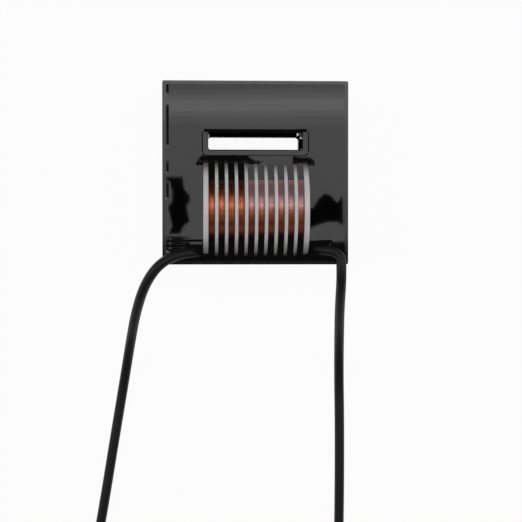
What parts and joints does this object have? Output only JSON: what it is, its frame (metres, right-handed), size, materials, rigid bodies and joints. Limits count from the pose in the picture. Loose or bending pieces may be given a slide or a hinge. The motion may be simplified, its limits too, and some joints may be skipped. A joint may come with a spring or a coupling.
{
  "type": "high-voltage transformer",
  "caption": "Potted high-voltage transformer: square black case with a slot for the primary, exposed sectioned copper secondary on a pale bobbin, and flying leads.",
  "frame": {"origin": "middle of the case's back face, on the surface that the case lies on", "axes": "+X along the bobbin, +Y from the bobbin towards the slot, +Z out of the open side of the case"},
  "size_m": [0.0894, 0.1851, 0.0335],
  "materials": {
    "case_plastic": "moulded black plastic, glossy",
    "potting_resin": "cast black epoxy resin, poured and self-levelled",
    "bobbin_plastic": "moulded pale thermoplastic",
    "winding_copper": "fine enamelled copper wire, close wound",
    "ferrite": "pressed and sintered ferrite",
    "gap_film": "polyester film",
    "lead_silicone": "extruded black silicone rubber",
    "tinned_copper": "twisted and tinned copper strands",
    "solder": "soft solder"
  },
  "bodies": {
    "root": {"case": "case_plastic", "potting_resin": "potting_resin", "bobbin": "bobbin_plastic", "core_half_left": "ferrite", "core_half_right": "ferrite", "gap_film_upper": "gap_film", "gap_film_lower": "gap_film", "left_lead": "lead_silicone", "right_lead": "lead_silicone", "left_lead_tip": "tinned_copper", "right_lead_tip": "tinned_copper", "left_lead_joint": "solder", "right_lead_joint": "solder", "winding_section_01": "winding_copper", "winding_section_02": "winding_copper", "winding_section_03": "winding_copper", "winding_section_04": "winding_copper", "winding_section_05": "winding_copper", "winding_section_06": "winding_copper", "winding_section_07": "winding_copper", "winding_section_08": "winding_copper", "winding_section_09": "winding_copper", "winding_section_10": "winding_copper"}
  },
  "joints": []
}
